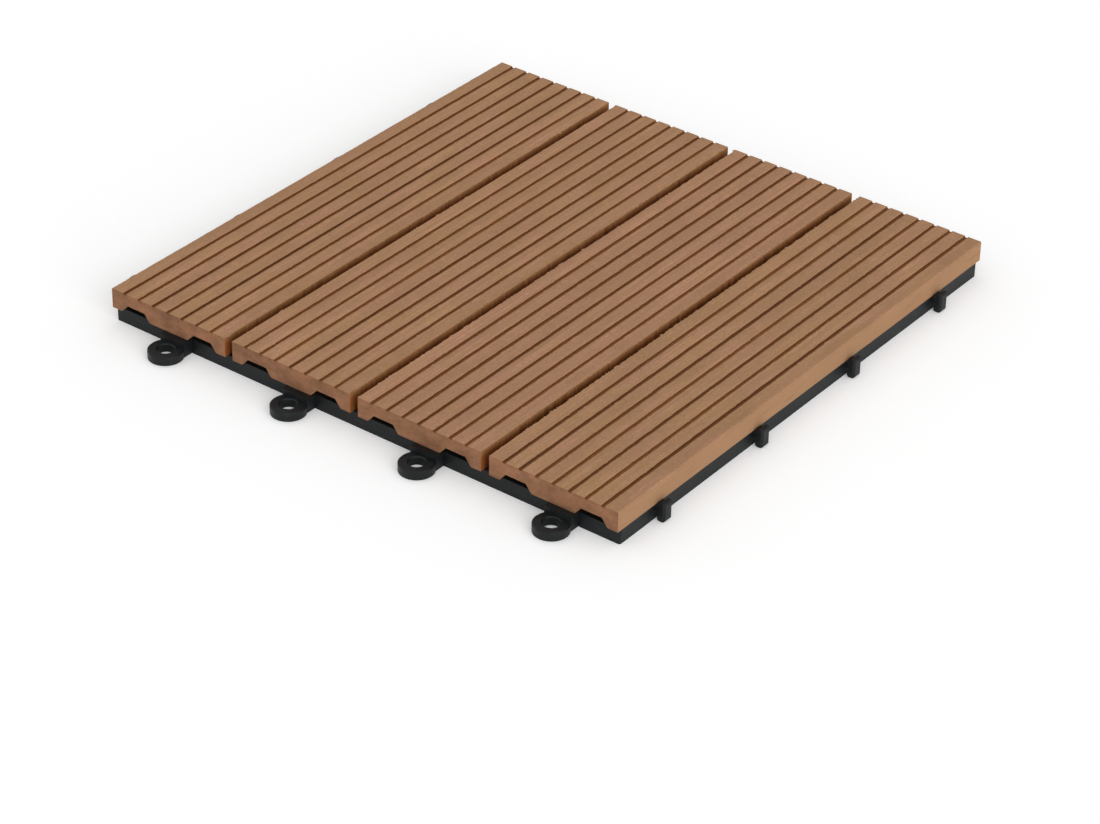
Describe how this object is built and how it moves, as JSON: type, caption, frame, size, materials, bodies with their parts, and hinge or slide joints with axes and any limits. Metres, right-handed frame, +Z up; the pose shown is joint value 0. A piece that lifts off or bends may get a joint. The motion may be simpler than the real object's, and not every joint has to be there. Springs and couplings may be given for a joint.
{
  "type": "interlocking deck tile",
  "caption": "Square deck tile: parallel grooved wood-plastic slats screwed to a moulded plastic grid with ring loops on two sides and hooked pegs on the other two.",
  "frame": {"origin": "on the ground under the middle of the tile, at the bottom of the grid's middle foot", "axes": "+Z up from the ground through the walking surface; +Y along the slats and their grooves; +X across the slats. The ring loops are on the -X and -Y sides and the pegs on the +X and +Y sides."},
  "size_m": [0.322, 0.322, 0.0185],
  "materials": {
    "slats": "brushed wood-plastic composite, matt",
    "base": "moulded black polypropylene, satin",
    "screws": "plated steel"
  },
  "bodies": {
    "root": {"base_grid": "base", "slat_1": "slats", "slat_2": "slats", "slat_3": "slats", "slat_4": "slats", "slat_screws": "screws"}
  },
  "joints": []
}
